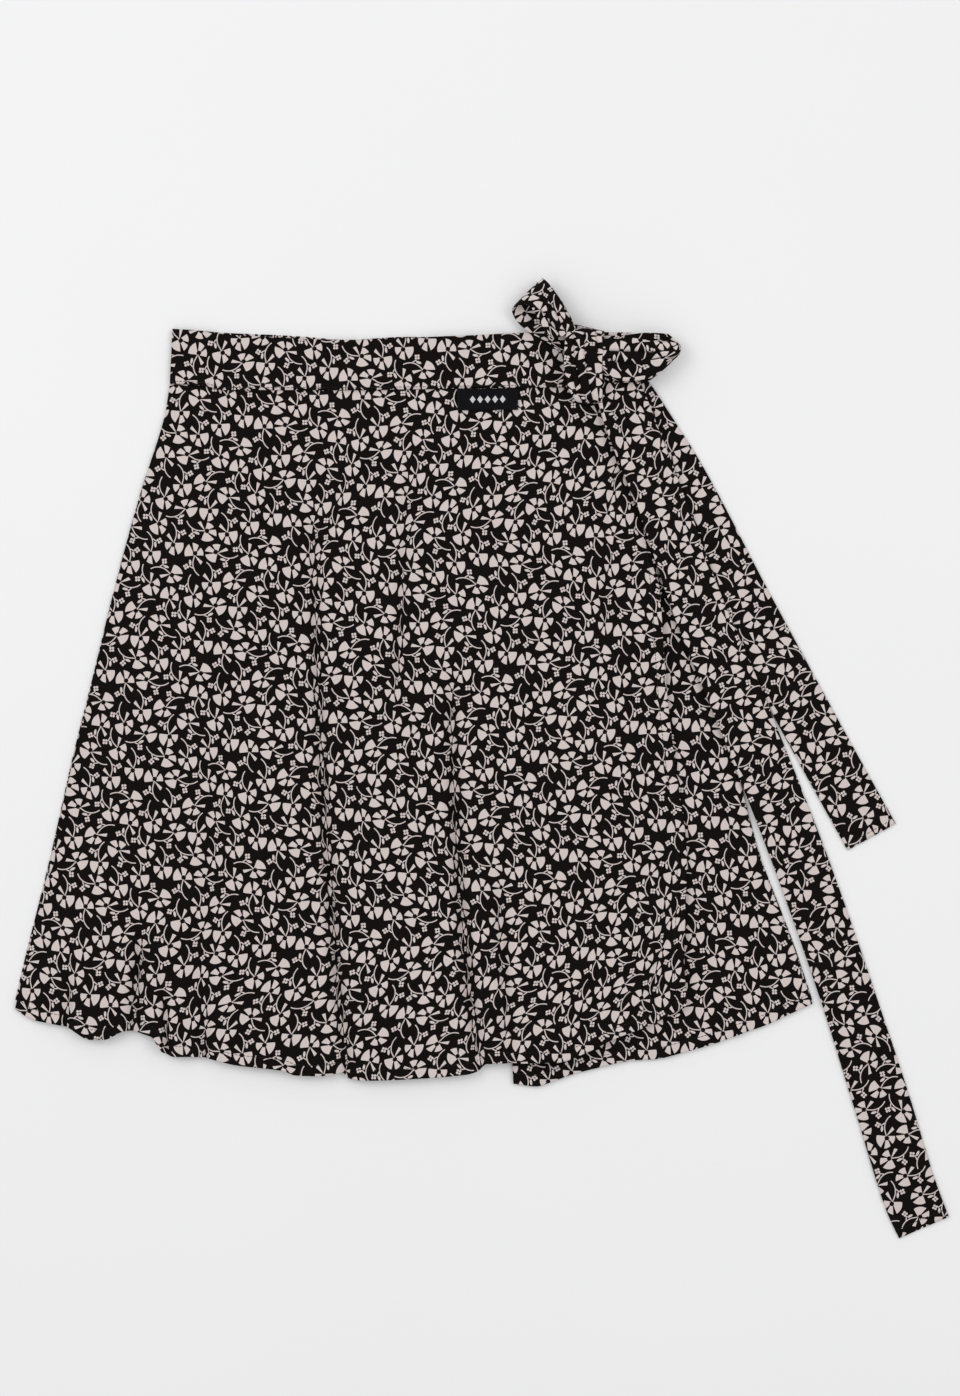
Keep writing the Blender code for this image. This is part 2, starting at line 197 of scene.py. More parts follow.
# ---- Where on the printed cloth each piece is cut ----

BACK_FROM = (0.057, 0.029)
UNDER_FROM = (0.131, 0.043)
BAND_BACK_FROM = (0.02, 0.37)
BAND_UNDER_FROM = (0.08, 0.33)
BAND_FRONT_FROM = (0.05, 0.41)
SHORT_TIE_FROM = (0.013, 0.008)
LONG_TIE_FROM = (0.111, 0.047)
UPPER_LOOP_FROM = (0.07, 0.012)
SIDE_LOOP_FROM = (0.03, 0.061)
KNOT_FROM = (0.15, 0.09)

# ---- The tie ends, from the knot to the end ----

Strip = namedtuple("Strip", "along x y width")
SHORT_TIE = [
    Strip(0.000, 0.105, 0.289, 0.0400),
    Strip(0.085, 0.123, 0.261, 0.0425),
    Strip(0.220, 0.152, 0.215, 0.0425),
    Strip(0.480, 0.201, 0.122, 0.0425),
    Strip(0.790, 0.260, 0.013, 0.0425),
    Strip(1.000, 0.3015, -0.062, 0.0425),
]
LONG_TIE = [
    Strip(0.000, 0.102, 0.293, 0.034),
    Strip(0.050, 0.1135, 0.260, 0.038),
    Strip(0.160, 0.1415, 0.1875, 0.038),
    Strip(0.265, 0.166, 0.1185, 0.040),
    Strip(0.390, 0.200, 0.0365, 0.042),
    Strip(0.570, 0.246, -0.080, 0.042),
    Strip(0.735, 0.284, -0.1885, 0.042),
    Strip(0.850, 0.309, -0.266, 0.0435),
    Strip(0.965, 0.333, -0.343, 0.0435),
    Strip(1.000, 0.342, -0.3645, 0.042),
]
SHORT_TIE_LENGTH = 0.402
LONG_TIE_LENGTH = 0.700
TIE_WIDTH = 0.0435
TIE_STEP_FROM = 0.28      # where a tie goes down from the front to the under wrap's height
TIE_STEP_RUN = 0.15
TIE_FALL = 0.020          # distance past the skirt's side over which it falls to the ground
LONG_TIE_LIFTED = 0.37    # share of the long tie that lies over the short one
LONG_TIE_LANDS = 0.46
TIE_HEADING_STEP = 0.02   # share of a tie over which its direction is taken

Pleats = namedtuple("Pleats", "count shift height fade_start fade_end")
SHORT_TIE_PLEATS = Pleats(1.5, 0.1, 0.0010, 0.010, 0.060)
LONG_TIE_PLEATS = Pleats(2.0, 0.35, 0.0034, 0.020, 0.110)
KNOT_PRESSES = 0.022      # length over which the pleats rise beside the knot

# ---- The label ----

LABEL_WIDTH = 0.047
LABEL_HEIGHT = 0.0165
LABEL_CENTRE = (0.004, 0.2765)
LABEL_TILT = math.radians(0.6)
LABEL_MARKS = 5           # small diamonds in a row
LABEL_MARK_PITCH = 0.0058
LABEL_MARK_HALF = 0.0029  # half a diamond's height
LABEL_MARK_SLOPE = 1.3    # its height to its width
LABEL_RIB_ACROSS = 0.00042
LABEL_RIB_ALONG = 0.00036

# ---- Stitching: where a row runs, as a share of its piece ----

FREE_EDGE_STITCH = 0.985
WAIST_STITCH = 0.955
LABEL_STITCH = 0.02
TIE_END_STITCH = 0.99

# ---- The print: one sprig a cell, in a block of cells that repeats ----

CELL_MM = 19.8
BLOCK = 4                 # cells along each side of the repeating block
STAGGER = 0.5             # how far each second row of cells is shifted, in cells
PRINT_TURN = math.radians(16.5)      # the print's rows run askew
NUDGE_MM = 5.0            # the most a sprig stands off its cell's middle
SPRIG_CLEAR_MM = 1.5      # the clear ground wanted between two sprigs
PRINT_SEED = 56
PRINT_ROUNDS = 34         # how often every sprig is moved, and the places tried each time
PRINT_TRIALS = 26

Petal = namedtuple("Petal", "start end start_reach_mm end_reach_mm")
PETALS = [     # directions clockwise from the stem, round the point that all petals fan out from
    Petal(45, 66, 8.6, 7.9), Petal(101, 156, 6.7, 7.4), Petal(169.5, 205.5, 8.1, 9.7),
    Petal(219.5, 292, 9.5, 7.4),
]
PETAL_CORNER = 0.003      # share of a turn over which a petal's side rises
PETAL_FAN_MM = 1.5        # how far the fan's point stands from the eye, towards the stem
EYE_MM = 1.8              # radius of the dark eye
FLOWER_FROM_MIDDLE_MM = (0.3, 4.4)   # from the flower's centre to the middle of its sprig
STEM_STRAIGHT_MM = 5.5    # how far the stem runs straight before it bends
STEM_BEND_MM = 11.0       # radius of its bend
STEM_TURN = math.radians(70)
STEM_HALF_WIDTH_MM = 0.38
STEM_START_MM = 1.6
BRANCH_FROM_MM = (-2.2, 10.4)        # a short branch, off the stem's outer side
BRANCH_TO_MM = (1.3, 11.6)
BUD_MM = (-1.9, 7.8)
BUD_TURN = math.radians(70)
BUD_HALF_LENGTH_MM = 2.2
BUD_HALF_WIDTH_MM = 0.92
FLORET_MM = (-4.2, 11.6)
FLORET_LOBE_FROM_MIDDLE_MM = 1.38
FLORET_LOBE_MM = 0.92
PRINT_EDGE_MM = 0.16      # how soft the print's edges are
FLOWER_DISCS_MM = [(-1.3, -1.3, 6.8), (-6.2, 3.8, 1.0), (6.0, 5.4, 1.7)]   # cover it: x, y, radius
BUD_DISC_MM = 1.8
FLORET_DISC_MM = 2.7
STEM_DISC_MM = 0.9
STEM_DISC_SHARES = (0.3, 0.45, 0.6, 0.75, 0.9, 1.0)


# ---- Colours, as linear red, green, blue and alpha ----

PETAL_DIM = (0.57, 0.495, 0.475, 1)
PETAL_PALE = (0.70, 0.615, 0.59, 1)
PETAL_CLOUD = (0.57, 0.49, 0.47, 1)
GROUND_DARK = (0.0032, 0.0020, 0.0019, 1)
GROUND_PALE = (0.0060, 0.0040, 0.0038, 1)
THREAD_DARK = (0.0072, 0.0066, 0.0072, 1)
THREAD_PALE = (0.012, 0.011, 0.012, 1)
LABEL_BLACK = (0.0022, 0.0022, 0.0034, 1)
LABEL_SHEEN = (0.0060, 0.0060, 0.0085, 1)
MARK_DIM = (0.45, 0.45, 0.45, 1)
MARK_PALE = (0.70, 0.70, 0.69, 1)
PAPER_DIM = (0.86, 0.86, 0.87, 1)
PAPER_PALE = (0.88, 0.88, 0.885, 1)


# ======== Shape ========


def ease(share):
    """A smooth step from 0 to 1."""
    share = np.clip(share, 0.0, 1.0)
    return share * share * (3.0 - 2.0 * share)


class Line:
    """A smooth line through a table's column, which never overshoots a row."""

    def __init__(self, table, key, column):
        self.places = np.array([getattr(row, key) for row in table], float)
        self.values = np.array([getattr(row, column) for row in table], float)
        rise = np.diff(self.values) / np.diff(self.places)
        product = rise[:-1] * rise[1:]
        total = np.where(product > 0, rise[:-1] + rise[1:], 1.0)
        meet = np.where(product > 0, 2.0 * product / total, 0.0)
        self.slopes = np.concatenate((rise[:1], meet, rise[-1:]))

    def __call__(self, place):
        place = np.clip(place, self.places[0], self.places[-1])
        row = np.clip(np.searchsorted(self.places, place, side="right") - 1, 0, len(self.places) - 2)
        run = self.places[row + 1] - self.places[row]
        t = (place - self.places[row]) / run
        return ((2 * t**3 - 3 * t**2 + 1) * self.values[row]
                + (t**3 - 2 * t**2 + t) * run * self.slopes[row]
                + (3 * t**2 - 2 * t**3) * self.values[row + 1]
                + (t**3 - t**2) * run * self.slopes[row + 1])


EDGES = {column: Line(LEVELS, "down", column) for column in Level._fields[1:]}
OUTER_DROP = Line(OUTER_HEM, "across", "drop")
UNDER_DROP = Line(UNDER_HEM, "across", "drop")
BAND_LINES = {column: Line(BAND, "across", column) for column in Band._fields[1:]}


def back_drop(x):
    middle = (EDGES["left_side"](1) + EDGES["right_side"](1)) / 2
    reach = EDGES["right_side"](1) - middle
    return BACK_HEM_AT_SIDES + BACK_HEM_SAG * (1 - ((x - middle) / reach) ** 2)


def panel_place(left, right, drop, across, down):
    """X and Y of a panel that hangs from the waist seam between two long edges."""
    edge_left = EDGES[left]
    edge_right = EDGES[right]
    x = edge_left(down) + (edge_right(down) - edge_left(down)) * across
    x_top = edge_left(0) + (edge_right(0) - edge_left(0)) * across
    x_hem = edge_left(1) + (edge_right(1) - edge_left(1)) * across
    top = WAIST_Y + BAND_LINES["seam"](x_top) - SEAM_GAP / 2
    hem = WAIST_Y - drop(x_hem)
    return x, top + (hem - top) * down


def outer_base(x, down):
    """What the outer panel lies on: the back, then up over the under wrap's edge."""
    reach = EDGES["under_edge"](down) - STEP_CLEAR - x
    return OVER_BACK + (OVER_UNDER_WRAP - OVER_BACK) * ease(1 - reach / STEP_RUN)


def fold_offset(fold, x, down):
    """How far a point lies to the right of a fold's line."""
    share = np.clip((down - fold.top_down) / (fold.foot_down - fold.top_down), 0.0, 1.0)
    return x - (fold.top + (fold.foot - fold.top) * share**fold.bend)


def fold_strength(fold, down):
    """A fold fades in, and fades out again where it ends short of the hem."""
    grow = ease((down - fold.top_down) / FOLD_FADE)
    if fold.foot_down >= 1.0:
        return grow
    return grow * ease((fold.foot_down - down) / FOLD_FADE)


def sink(folds, x, down):
    """The share of a roll's height that is left beside and in the folds."""
    left = np.ones_like(x)
    for fold in folds:
        away = fold_offset(fold, x, down) / fold.width
        trough = WIDE_TROUGH * np.exp(-away**2) + SHARP_TROUGH * np.exp(-(away / SHARP_TROUGH_WIDTH)**2)
        ridges = RIDGE * np.exp(-((np.abs(away) - RIDGE_FROM_MIDDLE) / RIDGE_WIDTH)**2)
        left *= 1 - fold.depth * fold_strength(fold, down) * (trough - ridges)
    return left


def tucked_cloth(folds, x, down):
    """The cloth used up by the folds to the left of each point."""
    used = np.zeros_like(x)
    for fold in folds:
        away = fold_offset(fold, x, down) / (TUCK_WIDTH * fold.width)
        used += fold.tucked * fold_strength(fold, down) * (0.5 + 0.5 * np.tanh(away))
    return used


def hem_turn(from_hem):
    """The turned hem is a little thicker than the cloth above it, with a dent at the stitches."""
    turn = 1 - ease((from_hem - HEM_TURN) / HEM_TURN_EASE)
    dent = np.exp(-((from_hem - HEM_TURN) / HEM_DENT_WIDTH) ** 2)
    return HEM_TURN_HEIGHT * (turn - HEM_DENT * dent)


def ripple(x, y, height):
    """Slow, uneven waves of cloth that isn't ironed dead flat."""
    total = sum(wave.size * np.sin(wave.across * x + wave.along * y + wave.start) for wave in RIPPLES)
    most = sum(wave.size for wave in RIPPLES)
    return height * (total / (2 * most) + 0.5)


def outer_height(x, y, down):
    """Height of the outer panel's underside: soft rolls between the folds, flat at both edges."""
    from_left = x - EDGES["left_side"](down)
    from_right = EDGES["outer_edge"](down) - x
    from_edges = ease(from_left / ROLL_EASE) * ease(from_right / ROLL_EASE)
    settled = HEM_SETTLES * ease((down - HEM_SETTLES_FROM) / (1 - HEM_SETTLES_FROM))
    roll = ROLL_HEIGHT * down**0.5 * (1 - settled)
    lift = EDGE_LIFT * ease(1 - from_right / EDGE_LIFT_WIDTH) * ease((down - EDGE_LIFT_FROM) / EDGE_LIFT_RUN)
    wave = np.cos(2 * math.pi * (down - EDGE_WAVE_CREST) / EDGE_WAVE_LENGTH)
    lift = lift * (1 - EDGE_WAVE + EDGE_WAVE * wave)
    rolls = from_edges * (roll * sink(OUTER_FOLDS, x, down) + ripple(x, y, OUTER_RIPPLE))
    return outer_base(x, down) + rolls + lift


def outer_shape(across, down):
    x, y = panel_place("left_side", "outer_edge", OUTER_DROP, across, down)
    z = outer_height(x, y, down) + hem_turn((1 - down) * SIDE_LENGTH)
    return (x, y, z), (x + tucked_cloth(OUTER_FOLDS, x, down), y)


def under_shape(across, down):
    x, y = panel_place("under_edge", "right_side", UNDER_DROP, across, down)
    from_right = EDGES["right_side"](down) - x
    puckers = sum(
        fold.depth * fold_strength(fold, down) * np.exp(-(fold_offset(fold, x, down) / fold.width) ** 2)
        for fold in UNDER_FOLDS)
    from_side = ease(from_right / UNDER_ROLL_EASE)
    z = OVER_BACK + UNDER_ROLL_HEIGHT * puckers * from_side
    z += ripple(x, y, UNDER_RIPPLE) * from_side + hem_turn((1 - down) * SIDE_LENGTH)
    return (x, y, z), (x + UNDER_FROM[0], y + UNDER_FROM[1])


def back_shape(across, down):
    x, y = panel_place("left_side", "right_side", back_drop, across, down)
    return (x, y, np.zeros_like(x)), (x + BACK_FROM[0], y + BACK_FROM[1])


def band_shape(left, right, top, height, cut_from, across, down):
    """A stretch of waistband between two long edges of the skirt, from its top line to the seam."""
    left_x = EDGES[left](0)
    x = left_x + (EDGES[right](0) - left_x) * across
    y_top = WAIST_Y + BAND_LINES[top](x)
    y_seam = WAIST_Y + BAND_LINES["seam"](x) + SEAM_GAP / 2
    lean = BAND_LEFT_LEAN * (1 - across) * (1 - down) if left == "left_side" else 0.0
    y = y_top + (y_seam - y_top) * down
    return (x + lean, y, height(x, y)), (x + cut_from[0], y + cut_from[1])


def band_back_shape(across, down):
    def height(x, y):
        return np.zeros_like(x)
    return band_shape("left_side", "right_side", "back_top", height, BAND_BACK_FROM, across, down)


def band_under_shape(across, down):
    def height(x, y):
        return np.full_like(x, OVER_BACK)
    return band_shape("under_edge", "right_side", "back_top", height, BAND_UNDER_FROM, across, down)


def band_front_shape(across, down):
    def height(x, y):
        return outer_base(x, 0.0) + ripple(x, y, BAND_RIPPLE)
    return band_shape("left_side", "outer_edge", "front_top", height, BAND_FRONT_FROM, across, down)


def skirt_top(x, y):
    """Height of the surface that a tie lies on: the skirt, then the ground past its side."""
    down = (WAIST_Y - y) / SIDE_LENGTH
    past_side = x - EDGES["right_side"](np.clip(down, 0.0, 1.0))
    step = ease((down - TIE_STEP_FROM) / TIE_STEP_RUN)
    top = OVER_FRONT_BAND + (OVER_UNDER_WRAP - OVER_FRONT_BAND) * step
    height = top * (1 - ease(past_side / TIE_FALL))
    return np.where(down > 1.0, 0.0, height)


def strip_shape(table, length, pleats, height, cut_from, across, along):
    """A tie end, square to its middle line. The knot gathers its first stretch into pleats."""
    line_x = Line(table, "along", "x")
    line_y = Line(table, "along", "y")
    ahead = np.minimum(along + TIE_HEADING_STEP, 1.0)
    behind = np.maximum(along - TIE_HEADING_STEP, 0.0)
    heading_x = line_x(ahead) - line_x(behind)
    heading_y = line_y(ahead) - line_y(behind)
    size = np.hypot(heading_x, heading_y)
    width = Line(table, "along", "width")(along)
    offset = (across - 0.5) * width
    x = line_x(along) - heading_y / size * offset
    y = line_y(along) + heading_x / size * offset
    from_knot = along * length
    gather = 1 - ease((from_knot - pleats.fade_start) / (pleats.fade_end - pleats.fade_start))
    gather = gather * ease(from_knot / KNOT_PRESSES)
    wave = np.cos(2 * math.pi * (pleats.count * across + pleats.shift))
    pleat = pleats.height * gather * (0.5 - 0.5 * wave)
    slack = ripple(x * TIE_RIPPLE_FINENESS, y * TIE_RIPPLE_FINENESS, TIE_RIPPLE)
    z = height(x, y, along) + pleat + slack
    fabric = (from_knot + cut_from[0], (across - 0.5) * TIE_WIDTH + cut_from[1])
    return (x, y, z), fabric


def short_tie_shape(across, along):
    return strip_shape(
        SHORT_TIE, SHORT_TIE_LENGTH, SHORT_TIE_PLEATS,
        lambda x, y, along: skirt_top(x, y), SHORT_TIE_FROM, across, along)


def long_tie_shape(across, along):
    def height(x, y, along):
        lift = 1 - ease((along - LONG_TIE_LIFTED) / (LONG_TIE_LANDS - LONG_TIE_LIFTED))
        return skirt_top(x, y) + (OVER_SHORT_TIE - OVER_FRONT_BAND + 2 * SEAM_GAP) * lift
    return strip_shape(LONG_TIE, LONG_TIE_LENGTH, LONG_TIE_PLEATS, height, LONG_TIE_FROM, across, along)


def label_shape(across, down):
    offset_x = (across - 0.5) * LABEL_WIDTH
    offset_y = (0.5 - down) * LABEL_HEIGHT
    x = LABEL_CENTRE[0] + offset_x * math.cos(LABEL_TILT) - offset_y * math.sin(LABEL_TILT)
    y = LABEL_CENTRE[1] + offset_x * math.sin(LABEL_TILT) + offset_y * math.cos(LABEL_TILT)
    below = outer_height(x, y, (WAIST_Y - y) / SIDE_LENGTH)
    slack = ripple(x * LABEL_RIPPLE_FINENESS, y * LABEL_RIPPLE_FINENESS, LABEL_RIPPLE)
    z = below + PANEL_CLOTH + SEAM_GAP + slack
    return (x, y, z), (across * LABEL_WIDTH, (1 - down) * LABEL_HEIGHT)


# ---- The bow: bands of cloth laid out by the two edges of a few cross-sections ----

BOW_CENTRE = (0.080, 0.303)
Section = namedtuple("Section", "along left_x left_y left_z right_x right_y right_z crown bulge")

UPPER_LOOP = [   # places in millimetres from the bow's centre, heights from the ground
    Section(0.00, -20, 10, 9.2, -6, 20, 9.2, 0.0, 0),
    Section(0.15, -32, 19, 8.2, -10, 33, 8.2, 0.0, 0),
    Section(0.30, -44.5, 26, 6.8, -17, 47, 6.8, 0.0, 0),
    Section(0.43, -54, 35, 6.6, -28, 60.5, 6.6, 0.0, 0),
    Section(0.50, -56.5, 41, 9.5, -33, 66, 9.0, 0.0, 1),
    Section(0.57, -53.5, 45, 13.8, -30, 63, 13.0, 0.5, 1),
    Section(0.65, -46, 45.5, 15.8, -25.5, 57, 14.6, 1.2, 0),
    Section(0.75, -39, 38.5, 17.0, -19.5, 48, 15.4, 1.8, 0),
    Section(0.87, -35, 30.5, 17.2, -13.5, 36.5, 15.6, 2.2, 0),
    Section(1.00, -27, 19, 15.4, -8, 24, 15.4, 1.5, 0),
]
SIDE_LOOP = [
    Section(0.00, 10, 22, 11.6, 8, -8, 11.6, 0.0, 0),
    Section(0.15, 28, 22.5, 11.5, 24, -14, 11.5, 0.0, 0),
    Section(0.30, 46, 24.5, 11.2, 46, -13, 11.2, 0.0, 1),
    Section(0.43, 60.5, 24, 10.6, 62, -1, 10.6, 0.0, 5),
    Section(0.50, 63.5, 20.5, 11.8, 65.5, 3, 11.8, 0.0, 7.5),
    Section(0.57, 61.5, 16.5, 14.0, 62.5, 0, 14.0, 0.6, 6),
    Section(0.70, 51, 17.0, 15.8, 48, -11, 14.8, 1.8, 2),
    Section(0.85, 34, 19.5, 16.2, 27, -13, 15.2, 2.2, 0),
    Section(1.00, 12, 19, 15.0, 10, -6, 15.0, 1.5, 0),
]
KNOT_WRAP = [
    Section(0.00, -5, 29.5, 9.4, 11, 24.5, 9.4, 0.0, 0),
    Section(0.12, -9, 29.5, 12.8, 13.5, 24.5, 12.2, 1.0, 0),
    Section(0.35, -16, 19, 17.4, 13.5, 16, 16.2, 2.2, 0),
    Section(0.60, -17, 2, 18.2, 11.5, 0, 17.0, 2.4, 0),
    Section(0.82, -14, -17, 16.4, 12, -19, 15.4, 1.8, 0),
    Section(0.95, -8, -27, 12.8, 12, -28, 12.2, 1.0, 0),
    Section(1.00, -5, -29, 9.4, 10, -29, 9.4, 0.0, 0),
]

Crease = namedtuple("Crease", "start end from_across to_across width depth_mm")
UPPER_CREASES = [
    Crease(0.70, 1.02, 0.20, 0.40, 0.06, 2.4),
    Crease(0.64, 1.02, 0.62, 0.64, 0.06, 2.0),
]
SIDE_CREASES = [
    Crease(0.60, 1.02, 0.26, 0.34, 0.05, 2.6),
    Crease(0.68, 1.02, 0.62, 0.55, 0.06, 2.4),
    Crease(0.62, 0.80, 0.45, 0.48, 0.05, 1.6),
]
KNOT_CREASES = [
    Crease(0.03, 0.95, 0.08, 0.42, 0.050, 3.0),
    Crease(0.12, 1.00, 0.40, 0.70, 0.045, 2.6),
    Crease(0.03, 0.62, 0.68, 0.93, 0.050, 2.2),
    Crease(0.45, 1.00, 0.16, 0.22, 0.045, 2.0),
]
CREASE_FADE = 0.25        # share of a crease over which it starts or ends

Ribbon = namedtuple("Ribbon", "sections creases width length cut_from")
UPPER_RIBBON = Ribbon(UPPER_LOOP, UPPER_CREASES, 0.035, 0.106, UPPER_LOOP_FROM)
SIDE_RIBBON = Ribbon(SIDE_LOOP, SIDE_CREASES, 0.036, 0.122, SIDE_LOOP_FROM)
KNOT_RIBBON = Ribbon(KNOT_WRAP, KNOT_CREASES, 0.032, 0.074, KNOT_FROM)


def ribbon_shape(ribbon, across, along):
    """A band of cloth through its cross-sections, crowned between its edges and creased along it."""
    lines = {column: Line(ribbon.sections, "along", column) for column in Section._fields[1:]}
    left = [lines["left_" + axis](along) for axis in "xyz"]
    right = [lines["right_" + axis](along) for axis in "xyz"]
    x, y, z = (left[i] + (right[i] - left[i]) * across for i in range(3))
    middle = 1 - (2 * across - 1) ** 2
    z = z + lines["crown"](along) * middle
    aside_x = left[1] - right[1]
    aside_y = right[0] - left[0]
    bulge = lines["bulge"](along) * middle / np.hypot(aside_x, aside_y)
    x = x + aside_x * bulge
    y = y + aside_y * bulge
    for crease in ribbon.creases:
        share = (along - crease.start) / (crease.end - crease.start)
        line = crease.from_across + (crease.to_across - crease.from_across) * share
        strength = ease(share / CREASE_FADE) * ease((1 - share) / CREASE_FADE)
        z = z - crease.depth_mm * strength * np.exp(-((across - line) / crease.width) ** 2)
    x = BOW_CENTRE[0] + x * MM
    y = BOW_CENTRE[1] + y * MM
    fabric = (along * ribbon.length + ribbon.cut_from[0], across * ribbon.width + ribbon.cut_from[1])
    return (x, y, z * MM), fabric


# ======== Meshes ========

label_low, label_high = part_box("label")
TO_FRAME = (
    (label_low.x + label_high.x) / 2 - LABEL_CENTRE[0],
    (label_low.y + label_high.y) / 2 - LABEL_CENTRE[1],
)


def steps(count):
    """Even steps from one edge of a cloth to the other."""
    return np.linspace(0.0, 1.0, count + 1)


def at(share):
    """One place between the edges of a cloth."""
    return np.array([share])


def steps_to_hem(count):
    """Even steps, then closer ones down to the hem."""
    above = np.linspace(0.0, 1.0 - HEM_SHARE, count + 1)
    return np.concatenate((above, np.linspace(1.0 - HEM_SHARE, 1.0, HEM_STEPS + 1)[1:]))


def lay_points(shape, across, down):
    """The points of a cloth, and where each lies on the flat print, as arrays of rows."""
    grid_across, grid_down = np.meshgrid(across, down)
    place, fabric = shape(grid_across, grid_down)
    points = np.stack([np.broadcast_to(value, grid_across.shape) for value in place], axis=-1).copy()
    points[..., 0] += TO_FRAME[0]
    points[..., 1] += TO_FRAME[1]
    flat = np.stack([np.broadcast_to(value, grid_across.shape) for value in fabric], axis=-1)
    return points, flat


def cut_size(flat):
    """Width, length and area of the flat cut that a cloth's print map covers."""
    first = flat[1:, :-1] - flat[:-1, 1:]
    second = flat[1:, 1:] - flat[:-1, :-1]
    area = np.abs(first[..., 0] * second[..., 1] - first[..., 1] * second[..., 0]).sum() / 2
    width, length = np.ptp(flat.reshape(-1, 2), axis=0)
    return float(width), float(length), float(area)


def cloth(name, shape, across, down, thickness, finish):
    """A thin shell of cloth through shape(across, down), with its print laid out flat as its UV map."""
    points, flat = lay_points(shape, across, down)
    rows, columns = points.shape[:2]
    corner = np.arange(rows * columns).reshape(rows, columns)
    faces = np.stack(
        [corner[:-1, :-1], corner[1:, :-1], corner[1:, 1:], corner[:-1, 1:]], axis=-1).reshape(-1, 4)
    mesh = bpy.data.meshes.new(name)
    mesh.from_pydata(points.reshape(-1, 3).tolist(), [], faces.tolist())
    layer = mesh.uv_layers.new(name="cut")
    layer.data.foreach_set("uv", flat.reshape(-1, 2)[faces.ravel()].astype(np.float32).ravel())
    mesh.materials.append(finish)
    mesh.shade_smooth()
    piece = bpy.data.objects.new(name, mesh)
    bpy.context.scene.collection.objects.link(piece)
    wall = piece.modifiers.new("wall", "SOLIDIFY")
    wall.thickness = thickness
    wall.offset = 1.0
    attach(piece, "root")
    return piece, flat


def stitch_line(shape, across, down, lift):
    """The points of a line of stitches on a cloth's upper side, from places on its cut."""
    points = lay_points(shape, across, down)[0]
    line = points.reshape(-1, 3)
    line[:, 2] += lift
    return line


def stitches(name, line, length=0.0022, gap=0.0009, width=0.00045):
    """A row of stitches along a line of points, as one joined mesh of small raised bars."""
    rise = width * 0.5
    top_width = 0.6
    inset = width * 0.4
    run = np.concatenate(([0.0], np.cumsum(np.linalg.norm(np.diff(line, axis=0), axis=1))))
    starts = np.arange(gap, run[-1] - length, length + gap)
    verts = []
    faces = []
    for start in starts:
        begin = np.array([np.interp(start, run, line[:, axis]) for axis in range(3)])
        end = np.array([np.interp(start + length, run, line[:, axis]) for axis in range(3)])
        heading = (end - begin) / np.linalg.norm(end - begin)
        side = np.cross((0, 0, 1), heading) * width / 2
        top = side * top_width
        base = len(verts)
        for point, inwards in ((begin, heading * inset), (end, heading * -inset)):
            raised = point + (0, 0, rise) + inwards
            verts += [point + side, raised + top, raised - top, point - side]
        faces += [(base, base + 1, base + 2, base + 3), (base + 7, base + 6, base + 5, base + 4)]
        for corner in range(4):
            after = (corner + 1) % 4
            faces.append((base + corner, base + 4 + corner, base + 4 + after, base + after))
    mesh = bpy.data.meshes.new(name)
    mesh.from_pydata([tuple(v) for v in verts], [], faces)
    mesh.materials.append(black_thread)
    piece = bpy.data.objects.new(name, mesh)
    bpy.context.scene.collection.objects.link(piece)
    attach(piece, "root")


# ======== Finishes ========


class Amount:
    """A number that varies over the cloth, so that shader maths reads as arithmetic."""

    def __init__(self, weave, socket):
        self.weave = weave
        self.socket = socket

    def join(self, operation, first, second=None, clamp=False):
        values = {0: first} if second is None else {0: first, 1: second}
        made = self.weave.node("ShaderNodeMath", {"operation": operation, "use_clamp": clamp}, values)
        return Amount(self.weave, made.outputs[0])

    def __add__(self, other):
        return self.join("ADD", self, other)

    def __radd__(self, other):
        return self.join("ADD", other, self)

    def __sub__(self, other):
        return self.join("SUBTRACT", self, other)

    def __rsub__(self, other):
        return self.join("SUBTRACT", other, self)

    def __mul__(self, other):
        return self.join("MULTIPLY", self, other)

    def __rmul__(self, other):
        return self.join("MULTIPLY", other, self)

    def __truediv__(self, other):
        return self.join("DIVIDE", self, other)

    def __abs__(self):
        return self.join("ABSOLUTE", self)

    def lower(self, other):
        return self.join("MINIMUM", self, other)

    def higher(self, other):
        return self.join("MAXIMUM", self, other)

    def rest(self, size):
        """What is left after taking away whole sizes."""
        return self.join("FLOORED_MODULO", self, size)

    def of(self, operation):
        return self.join(operation, self)

    def edge(self, softness):
        """1 where the number is well above 0, and 0 below it."""
        return self.join("ADD", self * (1.0 / softness), 0.5, clamp=True)


